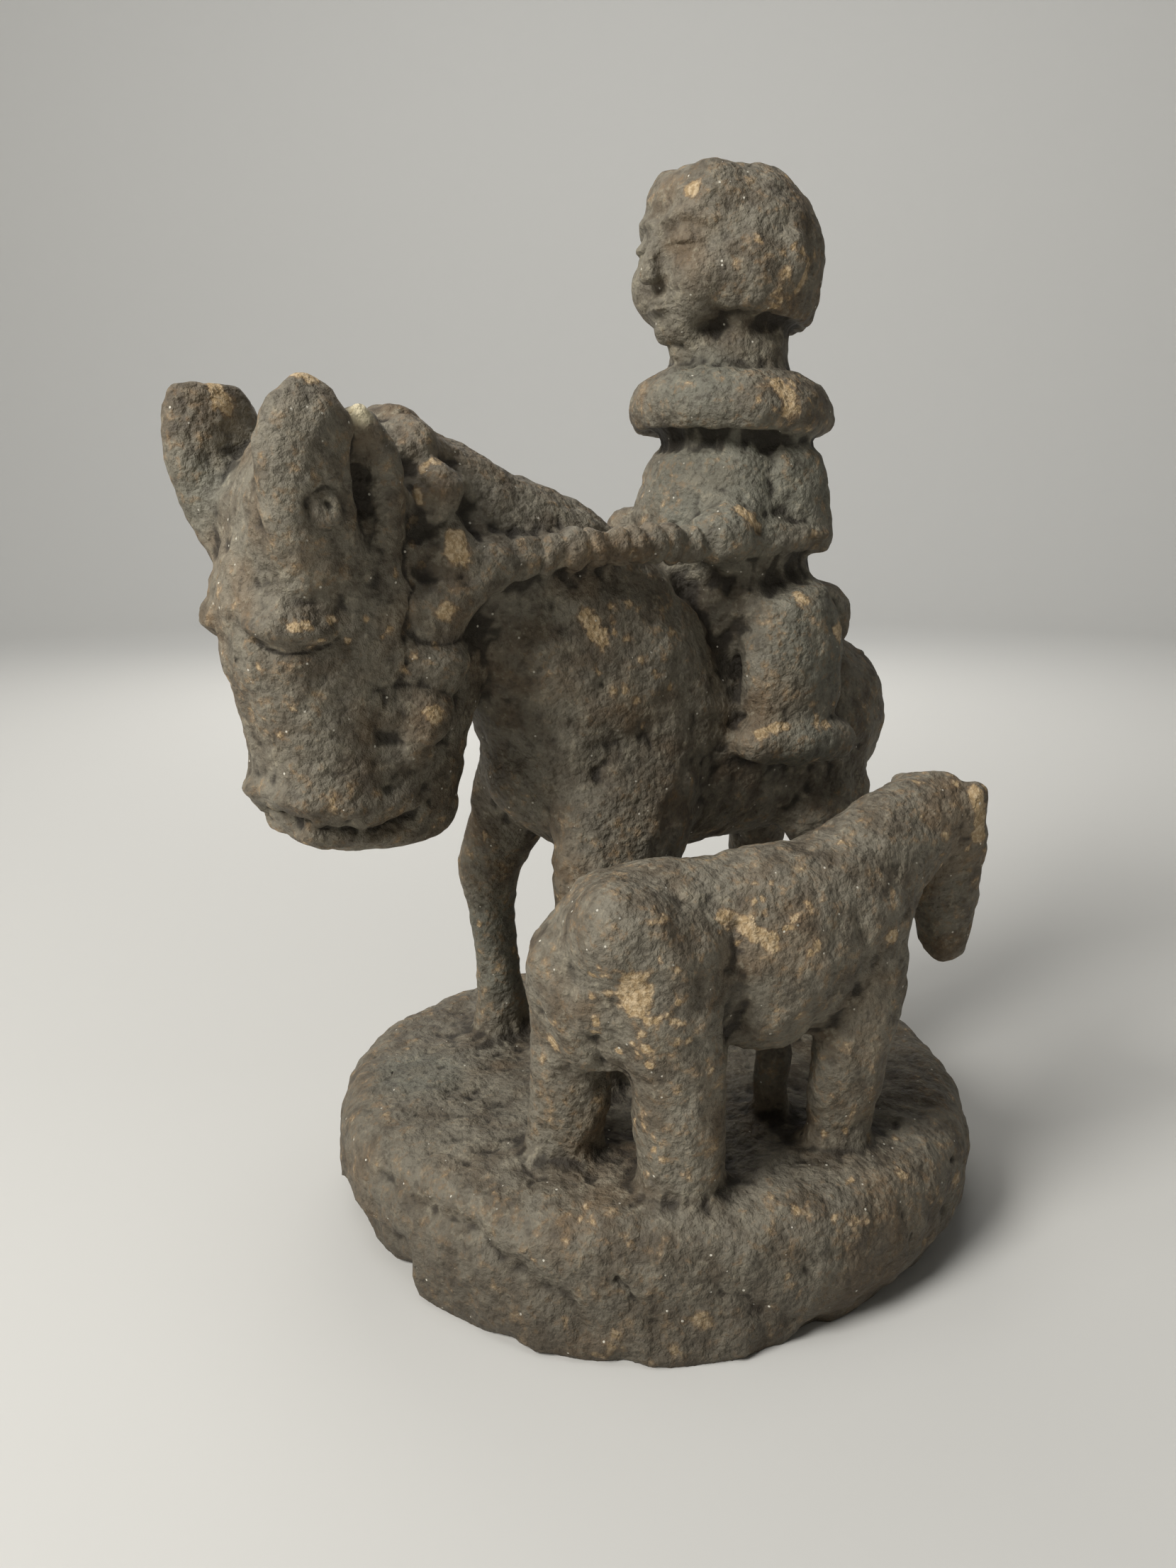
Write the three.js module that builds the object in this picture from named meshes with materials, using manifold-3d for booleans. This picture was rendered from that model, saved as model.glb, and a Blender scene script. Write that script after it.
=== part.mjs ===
// A small carved wooden statuette, cut from one block: a rider on a bridled horse, with a foal
// standing beside the horse and facing the other way, all on one low round plinth.
//
// Millimetres, +Z up. The origin is the middle of the plinth's underside. The horse faces -X,
// and the foal stands on the horse's left, the -Y side.
//
// Each figure is drawn in its own frame at a drawn height, and its real height scales it: the
// horse and the foal from the plinth's top between their feet, the rider from its seat.

import * as THREE from 'three';
import { mergeVertices } from 'three/addons/utils/BufferGeometryUtils.js';
import Module from 'manifold-3d';

const wasm = await Module();
wasm.setup();

// Plinth
const plinthRadius = 62;
const plinthHeight = 25;
const plinthEdgeRadius = 9;
const plinthStretch = 0.044; // how far the round outline is drawn out along its long axis
const plinthLongAxis = -25; // degrees from +X
const plinthWaviness = 0.007; // share of the radius
const footInset = 5; // where the wall is most drawn in, at its foot
const footInsetSide = -34; // degrees from +X
const footFlare = 5; // where the foot stands out in a low lobe
const footFlareSide = -118;
const footFlareSpread = 20;

// Figures
const horseHeight = 108; // to the shoulders
const riderHeight = 88; // seat to crown
const foalHeight = 63; // to the ear tips
const horseDrawnHeight = 108;
const riderDrawnHeight = 88;
const foalDrawnHeight = 63;
const rootDepth = 3; // how far the drawn legs run down into the plinth

const horsePlace = [-2, 13];
const foalPlace = [-2, -35];
const riderSeat = [28, 0, 88]; // on the drawn horse
const headTurn = 14; // degrees the horse turns its head to its left
const headPivot = [-45, 0, 0];

const weldDistance = 1e-4;
const domeRows = 2;
const plinthSides = 34;

// Joining and cutting

function toSolid(geometry) {
  const bare = geometry.clone();
  bare.deleteAttribute('normal');
  bare.deleteAttribute('uv');
  const welded = mergeVertices(bare, weldDistance);
  return new wasm.Manifold(new wasm.Mesh({
    numProp: 3,
    vertProperties: new Float32Array(welded.attributes.position.array),
    triVerts: new Uint32Array(welded.index.array),
  }));
}

const join = (solids) => solids.reduce((whole, solid) => whole.add(solid));
const cut = (solid, cutters) => cutters.reduce((whole, cutter) => whole.subtract(cutter), solid);

// Shapes that the figures are made of

// An oval section carried along a smooth line through the stations, with domed ends.
// A station is [x, y, z, halfAcross, halfThick]: halfAcross lies along "across", halfThick at
// right angles to it and to the line. "square" below 1 makes the section boxier, and "lumps"
// pinches the section in between so many beads.
function limb(stations, {
  sides = 10, steps = 2, across = [0, 1, 0], dome = 0.7, square = 1, lumps = 0, pinch = 0.2,
} = {}) {
  const line = new THREE.CatmullRomCurve3(stations.map(([x, y, z]) => new THREE.Vector3(x, y, z)));
  const girth = new THREE.CatmullRomCurve3(
    stations.map(([, , , half, thick]) => new THREE.Vector3(half, thick, 0)), false, 'catmullrom');
  const bodyRows = lumps ? lumps * 2 : (stations.length - 1) * steps;
  const lastRow = bodyRows + 2 * domeRows;
  const wanted = new THREE.Vector3(...across);
  const boxy = (value) => Math.sign(value) * Math.abs(value) ** square;
  const geometry = new THREE.SphereGeometry(1, sides, lastRow);
  const { position } = geometry.attributes;
  for (let i = 0; i < position.count; i += 1) {
    const row = Math.floor(i / (sides + 1));
    const angle = (-2 * Math.PI * (i % (sides + 1))) / sides;
    const beforeStart = Math.max(domeRows - row, 0) / domeRows;
    const pastEnd = Math.max(row - (lastRow - domeRows), 0) / domeRows;
    const domeAngle = (Math.PI / 2) * (pastEnd - beforeStart);
    const t = THREE.MathUtils.clamp((row - domeRows) / bodyRows, 0, 1);
    const along = line.getTangent(t);
    const side = wanted.clone().addScaledVector(along, -wanted.dot(along)).normalize();
    const back = along.clone().cross(side);
    const { x: half, y: thick } = girth.getPoint(t);
    const swell = lumps ? 1 - pinch * Math.abs(Math.cos(Math.PI * lumps * t)) : 1;
    const point = line.getPoint(t)
      .addScaledVector(along, dome * Math.min(half, thick) * Math.sin(domeAngle))
      .addScaledVector(side, half * swell * Math.cos(domeAngle) * boxy(Math.cos(angle)))
      .addScaledVector(back, thick * swell * Math.cos(domeAngle) * boxy(Math.sin(angle)));
    position.setXYZ(i, point.x, point.y, point.z);
  }
  return geometry;
}

// A round cord of one thickness.
function cord(points, radius, options = {}) {
  return limb(points.map((point) => [...point, radius, radius]), { sides: 6, steps: 2, ...options });
}

function ball([x, y, z], [rx, ry, rz], { sides = 10, rings = 7 } = {}) {
  const geometry = new THREE.SphereGeometry(1, sides, rings);
  geometry.rotateX(Math.PI / 2);
  geometry.scale(rx, ry, rz);
  geometry.translate(x, y, z);
  return geometry;
}

// A form turned about an upright axis from [radius, height] points, squeezed front to back by
// "depth" and tipped back by "tilt" degrees.
function turned(points, [x, y, z], { sides = 16, depth = 1, tilt = 0 } = {}) {
  const geometry = new THREE.LatheGeometry(points.map(([r, h]) => new THREE.Vector2(r, h)), sides);
  geometry.rotateX(Math.PI / 2);
  geometry.scale(depth, 1, 1);
  geometry.rotateY(THREE.MathUtils.degToRad(tilt));
  geometry.translate(x, y, z);
  return geometry;
}

// The same form on the other side of the figure's middle plane.
function otherSide(geometry) {
  const mirrored = geometry.clone();
  mirrored.scale(1, -1, 1);
  const { array } = mirrored.index;
  for (let i = 0; i < array.length; i += 3) {
    [array[i], array[i + 1]] = [array[i + 1], array[i]];
  }
  return mirrored;
}

const bothSides = (geometries) => [...geometries, ...geometries.map(otherSide)];
const placed = (geometries, frame) => geometries.map((geometry) => geometry.clone().applyMatrix4(frame));

// Plinth: a low drum of uneven round outline with a worn upper edge

function plinthReach(angle) {
  const fromLongAxis = angle - THREE.MathUtils.degToRad(plinthLongAxis);
  return 1 + plinthStretch * Math.cos(2 * fromLongAxis)
    + plinthWaviness * (Math.cos(5 * angle) + Math.cos(8 * angle + 1));
}

// How far the foot of the wall lies outside its waist, all round.
function footSpread(angle) {
  const degrees = THREE.MathUtils.radToDeg(angle);
  const drawnIn = (1 + Math.cos(THREE.MathUtils.degToRad(degrees - footInsetSide))) / 2;
  const flare = Math.exp(-(((degrees - footFlareSide) / footFlareSpread) ** 2));
  return footFlare * flare - footInset * drawnIn;
}

function plinth() {
  const edgeSteps = 4;
  const wallFoot = new THREE.Vector2(plinthRadius, 0);
  const wallWaist = new THREE.Vector2(plinthRadius, (plinthHeight - plinthEdgeRadius) / 2);
  const profile = [new THREE.Vector2(0, 0), wallFoot, wallWaist];
  for (let i = 0; i <= edgeSteps; i += 1) {
    const angle = (Math.PI / 2) * (i / edgeSteps);
    profile.push(new THREE.Vector2(
      plinthRadius - plinthEdgeRadius * (1 - Math.cos(angle)),
      plinthHeight - plinthEdgeRadius * (1 - Math.sin(angle)),
    ));
  }
  profile.push(new THREE.Vector2(0, plinthHeight));
  const geometry = new THREE.LatheGeometry(profile, plinthSides);
  geometry.rotateX(Math.PI / 2);
  const { position } = geometry.attributes;
  for (let i = 0; i < position.count; i += 1) {
    const angle = Math.atan2(position.getY(i), position.getX(i));
    const lowness = Math.max(0, 1 - position.getZ(i) / wallWaist.y);
    const reach = plinthReach(angle) * (1 + footSpread(angle) * lowness / plinthRadius);
    position.setXY(i, position.getX(i) * reach, position.getY(i) * reach);
  }
  return geometry;
}

// Horse

function horseBody() {
  const barrel = limb([[-17, 0, 68, 14.5, 19], [-8, 0, 66, 17, 22.5], [14, 0, 65, 16.5, 24],
    [36, 0, 65, 18, 24], [50, 0, 66, 18.5, 22], [60, 0, 64.5, 15.5, 18.5]], { sides: 14, steps: 1 });
  const neck = limb([[8, 0, 64, 18, 25], [-6, 0, 81, 19, 26], [-22, 0, 98, 15, 20], [-38, 0, 110, 12, 14],
    [-50, 0, 119, 11, 10]], { sides: 14, steps: 1 });
  return [barrel, neck];
}

function horseLegs() {
  const farFront = limb([[-4, 5, 78, 11, 17], [-12, 8, 63, 10, 14], [-18, 12.5, 48, 7, 9],
    [-20.5, 16, 37, 6, 7], [-19, 17, 28, 4.8, 5.4], [-18, 17, 12, 4.8, 5.4],
    [-17, 17, -rootDepth, 6.5, 7.5]], { sides: 8, steps: 1 });
  const nearFront = limb([[4, -5, 80, 11.5, 18], [-1, -8.5, 62, 11.5, 16], [-6, -12, 50, 9.5, 16],
    [-9, -13.5, 42, 8.5, 13.5], [-12, -15, 30, 6.5, 9], [-14, -15, 15, 5.5, 6.5],
    [-14, -15, -rootDepth, 6.5, 8]], { steps: 1 });
  const hind = limb([[46, -7, 64, 9, 15], [49, -11.5, 47, 8.5, 12.5], [52, -13, 34, 6, 7.5],
    [48, -13, 22, 5, 6], [45, -13, 10, 4.8, 5.5], [43, -13, -rootDepth, 6, 7.5]], { sides: 8, steps: 1 });
  return [farFront, nearFront, ...bothSides([hind])];
}

function horseTail() {
  return [limb([[66, 0, 78, 3.5, 4], [70, 0, 66, 4.5, 4], [68, 0, 50, 4.5, 4], [62, 0, 38, 3.5, 3]],
    { sides: 6, steps: 1 })];
}

function horseHead() {
  const skull = limb([[-61, 0, 125, 9, 9], [-60.5, 0, 116, 13, 16.3], [-57.5, 0, 104, 15, 22.5],
    [-55, 0, 92, 15.2, 24.7], [-54.3, 0, 82, 14.5, 23.3], [-55, 0, 75, 13.8, 20.8],
    [-55.5, 0, 66, 13.2, 19.5], [-55.5, 0, 61, 12.5, 18]],
    { sides: 14, square: 0.8, dome: 0.3, steps: 1 });
  const upperLip = limb([[-58, 0, 73, 12.5, 16], [-58.5, 0, 67.5, 14.4, 17.5], [-58, 0, 63.5, 13.4, 16.5]],
    { sides: 14, square: 0.8, dome: 0.2, steps: 1 });
  const lowerLip = limb([[-41.5, 0, 60.5, 10.5, 7], [-52, 0, 60, 12.2, 8], [-62, 0, 60.5, 12.2, 6.5],
    [-70.5, 0, 62, 9.5, 4.5]], { sides: 12, square: 0.8, dome: 0.35, steps: 1 });
  const forehead = limb([[-70, -5, 123, 5, 4], [-71.5, -6, 116, 7.5, 6.5], [-72, -5.5, 106, 7.5, 7],
    [-72, -4, 98, 5, 5]], { sides: 8, steps: 1 });
  const eye = limb([[-79.6, -5.5, 95, 1.4, 1.4], [-77, -9.2, 95.4, 2.8, 2.8],
    [-73.5, -12.2, 94.9, 2.6, 2.8], [-70.5, -13.4, 94, 1.4, 1.4]],
    { sides: 8, steps: 1, across: [0, 0, 1] });
  return [skull, upperLip, lowerLip, forehead, ...bothSides([eye])];
}

// The far ear is a flat paddle. The near one is a thick front lobe with a thin rim behind it.
function horseEars() {
  const far = limb([[-67.5, 10.5, 104, 4.5, 7], [-69.5, 12.5, 113, 5, 8.6], [-71, 14, 122, 4.5, 9.3],
    [-71, 14.8, 128.3, 3.5, 8.8], [-70.8, 15, 131, 2.5, 7.6]], { steps: 1, dome: 0.2, square: 0.85 });
  const lobe = limb([[-67, -10.5, 103, 5, 8.5], [-70.5, -12.5, 112, 5.5, 9.5],
    [-72.5, -13.5, 121, 5.5, 8.5], [-72.3, -14, 127, 4.5, 6.5], [-71.5, -14, 129.5, 3, 4]], { steps: 1 });
  const rim = limb([[-57, -10.5, 103, 4.5, 4], [-57.5, -12, 112, 5, 4], [-59.5, -12.5, 119, 5.5, 4],
    [-63.5, -12.5, 124.5, 5, 3.6]], { sides: 8, steps: 1 });
  return [far, lobe, rim];
}

function nearEarHollow() {
  return limb([[-62.5, -16.5, 106.5, 2.8, 2.8], [-63.8, -17, 114, 4, 3.2], [-65.8, -17.5, 122, 2.6, 2.6]],
    { sides: 8, steps: 1 });
}

// A string of lumps down the cheek, from the top of the head to the corner of the mouth.
function bridle() {
  const strap = limb([[-47, 0, 125.5, 4, 4], [-48.5, -7, 123.5, 4.2, 4.2], [-47.5, -12.5, 116.5, 4.4, 4.5],
    [-45.5, -14.3, 106, 4.6, 5], [-47.8, -14.5, 95.5, 4.8, 7], [-49.3, -14.4, 86.5, 4.6, 7],
    [-51.8, -13.8, 78.5, 4.3, 6], [-54, -13, 71.5, 3.6, 4.5]], { sides: 6, lumps: 8, pinch: 0.28 });
  return bothSides([strap]);
}

function rein() {
  const cordToFist = limb([[-33, -14, 103.2, 5, 5.3], [-20, -16, 104.8, 4.2, 4.4],
    [-6, -16, 105.2, 3.8, 3.9], [8, -14.8, 105, 3.7, 3.8], [18, -13.5, 105.4, 3.7, 3.7]],
    { sides: 6, lumps: 10, pinch: 0.15 });
  return bothSides([cordToFist]);
}

// Rider

function riderTrunk() {
  const lap = limb([[3, 0, -6, 17, 16], [1, 0, 6, 18, 17], [-1, 0, 18, 18.5, 18]],
    { sides: 14, dome: 0.3, steps: 1 });
  const tunic = limb([[-1.5, 0, 17, 19, 18.5], [-1, 0, 25, 18, 17.5], [0, 0, 35, 16, 14.8],
    [0.6, 0, 44, 14.2, 12.5]], { sides: 14, dome: 0.1, steps: 1 });
  return [lap, tunic];
}

function riderCollar() {
  const section = [[9, -3], [15, -6], [19.5, -5.5], [21.5, -2], [21, 1.5], [18, 5], [12, 7], [9, 7],
    [9, -3]];
  return [turned(section, [0.4, 0, 42.8], { depth: 0.97, tilt: 4 })];
}

function riderHead() {
  const neck = limb([[0, 0, 44, 14, 13.5], [0, 0, 51, 12.5, 12.5], [0, 0, 62, 12.5, 12.5]],
    { sides: 12, dome: 0.1, steps: 1 });
  const capProfile = [[0, -11.5], [13, -11.5], [16.2, -10.8], [17.8, -6], [18.2, 0], [16.8, 7.3],
    [12.6, 13.2], [6.8, 16.9], [0, 18]];
  const cap = turned(capProfile, [0.8, 0, 70], { depth: 1.02, tilt: 8 });
  const face = limb([[-3.5, 0, 80, 10, 9.5], [-4.5, 0, 73, 14, 14.2], [-4.8, 0, 66, 13.6, 14],
    [-6, 0, 60, 11, 12], [-8, 0, 55.5, 7, 8.6]], { sides: 12, steps: 1, dome: 0.35 });
  const nose = limb([[-17.8, 0, 74, 1.5, 1.4], [-20, 0, 68.5, 1.9, 2.1], [-20, 0, 65.6, 2.9, 2.1]],
    { sides: 8, steps: 1 });
  const brow = cord([[-18, -1.5, 75.6], [-16.8, -7, 76.8], [-13, -11.5, 75]], 1.3,
    { across: [0, 0, 1], steps: 1 });
  const eye = limb([[-17.4, -3.4, 71.5, 0.8, 0.8], [-16.8, -6.8, 71.9, 1.7, 1.8],
    [-14.2, -10.2, 71.3, 0.8, 0.8]], { sides: 8, across: [0, 0, 1] });
  const lips = limb([[-16.6, -4.2, 60.9, 0.8, 0.8], [-18.4, 0, 61.1, 1.6, 1.6],
    [-16.6, 4.2, 60.9, 0.8, 0.8]], { sides: 8, across: [0, 0, 1] });
  const ear = limb([[1.5, -17.4, 72.5, 1.6, 2.8], [1.2, -18.2, 68.5, 1.8, 3.2], [0.4, -17.2, 64.5, 1.4, 2]],
    { sides: 8, steps: 1 });
  return [neck, cap, face, nose, lips, ...bothSides([brow, eye, ear])];
}

function riderArms() {
  const upper = limb([[4, -13, 39, 5.5, 7.5], [5.5, -14.3, 30, 5, 8], [8, -15.2, 20, 5, 6.5]],
    { sides: 8, steps: 1 });
  const lower = limb([[11, -15.5, 18.5, 4.6, 4.8], [0, -16, 17.3, 4, 4.6], [-8, -15, 17.3, 4, 4.4]],
    { sides: 8, across: [0, 0, 1], steps: 1 });
  const fist = ball([-12.5, -14, 17.3], [6.5, 5.4, 4.8], { sides: 8, rings: 6 });
  return bothSides([upper, lower, fist]);
}

function riderLegs() {
  const thigh = limb([[-4, -4, 4, 9, 9], [2, -11, 6, 8.5, 9], [8, -16.5, 3.5, 7.5, 9]],
    { sides: 10, across: [0, 0, 1], steps: 1 });
  const shin = limb([[5, -16.5, 4, 7, 11], [3.5, -18.5, -5, 6.5, 12.5], [3, -19.3, -16, 6, 12]],
    { steps: 1, dome: 0.4 });
  const calf = ball([15.5, -13, 1], [7, 7, 8.5], { sides: 8, rings: 6 });
  const foot = limb([[-8, -20, -21, 4.8, 4.6], [3, -22, -22, 5.6, 5.2], [14.5, -21.3, -22.8, 4.8, 4.6]],
    { sides: 8, steps: 1 });
  return bothSides([thigh, shin, calf, foot]);
}

// Foal

function foalBody() {
  const trunk = limb([[-30, 7, 41, 12, 12.5], [-22, 4, 42, 13, 14], [-13, 1, 39.5, 12.5, 16.5],
    [-2, -1.5, 37.5, 14.2, 19], [8, -3, 39.8, 13, 17.5], [15, -4, 42.5, 11.5, 15],
    [21, -4.5, 45, 9.5, 12]], { sides: 12, steps: 1 });
  const neck = limb([[10, -4, 43, 10, 13.5], [27, -3, 52, 8.5, 11], [40, -2, 57, 8, 8]], { steps: 1 });
  const head = limb([[41, -2, 56.5, 8, 8], [45.5, -1, 47, 7, 7.6], [45.5, -1, 36, 5.8, 7.6],
    [46.5, -1, 27, 4.4, 4.4]], { steps: 1 });
  return [trunk, neck, head];
}

function foalEars() {
  return [
    limb([[36, 2, 57, 3.5, 3.5], [36.5, 3.5, 61.5, 2.5, 2.5]], { sides: 8, steps: 1 }),
    limb([[43, -6.5, 57, 4, 4.5], [43.5, -7.5, 61, 2.5, 3.2]], { sides: 8, steps: 1 }),
  ];
}

function foalLegs() {
  const thinLeg = { sides: 8, steps: 1 };
  return [
    limb([[-25, -1, 43, 11, 12], [-23.5, -3, 32, 10.3, 10.8], [-21.7, -4, 19, 7.8, 8.4],
      [-21, -4, 6, 6.8, 7.2], [-21, -4, -rootDepth, 8, 8.5]], { steps: 1 }),
    limb([[-31, 10, 40, 9.5, 11.5], [-32, 13.5, 24, 6.3, 7.5], [-32, 16, 8, 5, 6],
      [-32, 17, -rootDepth, 5.4, 6.6]], thinLeg),
    limb([[-30.5, 5, 44, 11, 8.5], [-31.5, 5.5, 34, 11, 9.5], [-29.5, 6, 25, 9, 8.5]],
      { sides: 8, steps: 1, dome: 0.6 }),
    limb([[15, -7, 42, 8, 10.5], [16, -8.5, 30, 7.3, 10], [13, -10, 19, 6.8, 8.8], [12, -8.5, 5, 5.5, 7],
      [12, -8, -rootDepth, 6.5, 8]], thinLeg),
    limb([[12, 4, 36, 5, 7], [9, 6, 18, 3.4, 3.8], [9, 6.5, -rootDepth, 4, 4.4]], thinLeg),
  ];
}

// Placing the figures on the plinth

const move = (...offset) => new THREE.Matrix4().makeTranslation(...offset);
const grow = (factor) => new THREE.Matrix4().makeScale(factor, factor, factor);
const turn = (degrees) => new THREE.Matrix4().makeRotationZ(THREE.MathUtils.degToRad(degrees));

const horseScale = horseHeight / horseDrawnHeight;
const seat = riderSeat.map((value) => value * horseScale);
const horseFrame = move(...horsePlace, plinthHeight).multiply(grow(horseScale));
const headFrame = horseFrame.clone()
  .multiply(move(...headPivot))
  .multiply(turn(headTurn))
  .multiply(move(...headPivot.map((value) => -value)));
const riderFrame = move(horsePlace[0] + seat[0], horsePlace[1] + seat[1], plinthHeight + seat[2])
  .multiply(grow(riderHeight / riderDrawnHeight));
const foalFrame = move(...foalPlace, plinthHeight).multiply(grow(foalHeight / foalDrawnHeight));

const forms = [
  plinth(),
  ...placed([...horseBody(), ...horseLegs(), ...horseTail(), ...rein()], horseFrame),
  ...placed([...horseHead(), ...horseEars(), ...bridle()], headFrame),
  ...placed([...riderTrunk(), ...riderCollar(), ...riderHead()], riderFrame),
  ...placed([...riderArms(), ...riderLegs()], riderFrame),
  ...placed([...foalBody(), ...foalEars(), ...foalLegs()], foalFrame),
];
const hollows = placed([nearEarHollow()], headFrame);
const carved = cut(join(forms.map(toSolid)), hollows.map(toSolid));

function toMesh(solid, name, material) {
  const { vertProperties, triVerts } = solid.getMesh();
  const geometry = new THREE.BufferGeometry();
  geometry.setAttribute('position', new THREE.BufferAttribute(new Float32Array(vertProperties), 3));
  geometry.setIndex(new THREE.BufferAttribute(new Uint32Array(triVerts), 1));
  const mesh = new THREE.Mesh(geometry, material);
  mesh.name = name;
  return mesh;
}

const agedWood = new THREE.MeshStandardMaterial({ color: 0x5b5248, roughness: 0.85, metalness: 0 });

const statuette = new THREE.Group();
statuette.add(toMesh(carved, 'statuette', agedWood));

export default statuette;
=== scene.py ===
import math
import bpy
import numpy as np
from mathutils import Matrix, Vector


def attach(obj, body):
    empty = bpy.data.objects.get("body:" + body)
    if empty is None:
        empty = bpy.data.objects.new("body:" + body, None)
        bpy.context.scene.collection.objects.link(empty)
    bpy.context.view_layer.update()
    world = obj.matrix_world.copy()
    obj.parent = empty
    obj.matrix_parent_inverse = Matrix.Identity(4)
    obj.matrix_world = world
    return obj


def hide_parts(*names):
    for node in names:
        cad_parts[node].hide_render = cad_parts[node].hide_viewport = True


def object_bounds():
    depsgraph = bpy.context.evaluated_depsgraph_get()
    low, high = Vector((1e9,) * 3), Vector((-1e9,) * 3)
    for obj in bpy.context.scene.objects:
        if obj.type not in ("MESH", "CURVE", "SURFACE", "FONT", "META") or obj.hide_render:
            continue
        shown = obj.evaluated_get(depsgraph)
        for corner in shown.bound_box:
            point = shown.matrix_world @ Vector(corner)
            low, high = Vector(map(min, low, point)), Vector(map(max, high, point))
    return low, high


# A small statuette cut from one block of wood and left to weather: a rider on a bridled horse with
# a foal beside it. The carving's solid is copied, remeshed fine, rounded, and given its relief.
# Lengths in the dictionaries are millimetres, and meshes are metres.

mm = 0.001
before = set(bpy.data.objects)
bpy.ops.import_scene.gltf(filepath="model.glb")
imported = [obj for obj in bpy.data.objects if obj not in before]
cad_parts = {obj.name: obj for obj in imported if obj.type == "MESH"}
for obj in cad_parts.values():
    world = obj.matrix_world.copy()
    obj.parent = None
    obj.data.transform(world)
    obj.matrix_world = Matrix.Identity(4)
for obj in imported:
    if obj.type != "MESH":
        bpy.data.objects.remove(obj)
cadLow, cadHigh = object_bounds()
print("frame loaded")


# Camera and studio

photoCamera = {
    # pixels
    "imageSize": (1659, 2212),
    "focalPixels": 1662,
    "position": (-133.8, -181.2, 140),
    # degrees: which way it looks, anticlockwise from +Y, and how far it tips down
    "azimuth": -33,
    "downTilt": 14,
    "sensorSide": 36,
    # the nearest and the farthest that it sees
    "clip": (10, 20000),
}


def makeCamera(values):
    # looks from its position along its azimuth, tipped down, with no roll
    turn = math.radians(values["azimuth"])
    tip = math.radians(values["downTilt"])
    forward = Vector((-math.sin(turn) * math.cos(tip), math.cos(turn) * math.cos(tip), -math.sin(tip)))
    data = bpy.data.cameras.new("photoCamera")
    data.sensor_width = values["sensorSide"]
    data.lens = values["sensorSide"] * values["focalPixels"] / max(values["imageSize"])
    data.clip_start, data.clip_end = (length * mm for length in values["clip"])
    camera = bpy.data.objects.new("photoCamera", data)
    camera.location = Vector(values["position"]) * mm
    camera.rotation_mode = "QUATERNION"
    camera.rotation_quaternion = forward.to_track_quat("-Z", "Y")
    bpy.context.scene.collection.objects.link(camera)
    bpy.context.scene.camera = camera


studio = {
    "floorRadius": 1100,
    "bendRadius": 500,
    "wallHeight": 900,
    "bendSteps": 12,
    "turnSteps": 96,
    "floorColour": "#cfceca",
    "floorRoughness": 0.95,
    "floorSpecular": 0.1,
    "sky": "#e6e8ea",
    "skyStrength": 0.09,
    # softboxes: where each one stands, where it points, its width, its power in watts, its colour
    "lights": {
        "windowLight": ((-640, -90, 560), (0, 0, 90), 330, 6.8, "#fffdf9"),
        "topLight": ((-160, 40, 900), (0, 0, 90), 500, 1.9, "#ffffff"),
        "backFill": ((320, 620, 420), (0, 0, 90), 500, 1.0, "#fffaf2"),
        "wallLight": ((250, 380, 900), (900, 1400, 350), 700, 7.0, "#ffffff"),
    },
}


def linearColour(hexText):
    # an sRGB hex colour turned to linear light, by the sRGB curve
    srgb = np.array([int(hexText[i:i + 2], 16) / 255 for i in (1, 3, 5)])
    linear = np.where(srgb <= 0.04045, srgb / 12.92, ((srgb + 0.055) / 1.055) ** 2.4)
    return (*[float(value) for value in linear], 1.0)


def addNode(tree, kind, settings=None, links=None):
    # adds one node: settings fill its properties or its unlinked sockets, links feed its sockets
    node = tree.nodes.new(kind)
    for name, value in (settings or {}).items():
        if hasattr(node, name):
            setattr(node, name, value)
        else:
            node.inputs[name].default_value = value
    for name, source in (links or {}).items():
        tree.links.new(source, node.inputs[name])
    return node


def newMaterial(name):
    material = bpy.data.materials.new(name)
    material.use_nodes = True
    material.node_tree.nodes.clear()
    return material, material.node_tree


def makeSweep(values):
    # a floor that bends up into a wall: a flat, a quarter round and an upright, turned about the
    # upright axis, with a small disc in the middle
    floor, bend, columns = values["floorRadius"], values["bendRadius"], values["turnSteps"]
    quarter = np.linspace(0, math.pi / 2, values["bendSteps"] + 1)
    radii = np.concatenate([[1, floor / 2], floor + bend * np.sin(quarter), [floor + bend]])
    heights = np.concatenate([[0, 0], bend * (1 - np.cos(quarter)), [bend + values["wallHeight"]]])
    around = np.linspace(0, 2 * math.pi, columns, endpoint=False)
    x = radii[:, None] * np.cos(around)
    y = radii[:, None] * np.sin(around)
    z = np.repeat(heights[:, None], columns, axis=1)
    points = np.stack([x, y, z], axis=-1).reshape(-1, 3) * mm
    row, column = np.meshgrid(np.arange(len(radii) - 1), np.arange(columns), indexing="ij")
    inner, outer = row * columns, (row + 1) * columns
    after = (column + 1) % columns
    quads = np.stack([outer + column, outer + after, inner + after, inner + column], axis=-1)
    disc = [list(range(columns))[::-1]]
    mesh = bpy.data.meshes.new("studioSweep")
    mesh.from_pydata(points.tolist(), [], quads.reshape(-1, 4).tolist() + disc)
    mesh.shade_smooth()
    sweep = bpy.data.objects.new("studioSweep", mesh)
    bpy.context.scene.collection.objects.link(sweep)
    # matt paint: an even pale ground with no sheen
    material, tree = newMaterial("matt painted studio floor")
    shader = addNode(tree, "ShaderNodeBsdfPrincipled", {
        "Base Color": linearColour(values["floorColour"]),
        "Roughness": values["floorRoughness"],
        "Specular IOR Level": values["floorSpecular"]})
    addNode(tree, "ShaderNodeOutputMaterial", links={"Surface": shader.outputs[0]})
    mesh.materials.append(material)


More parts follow.
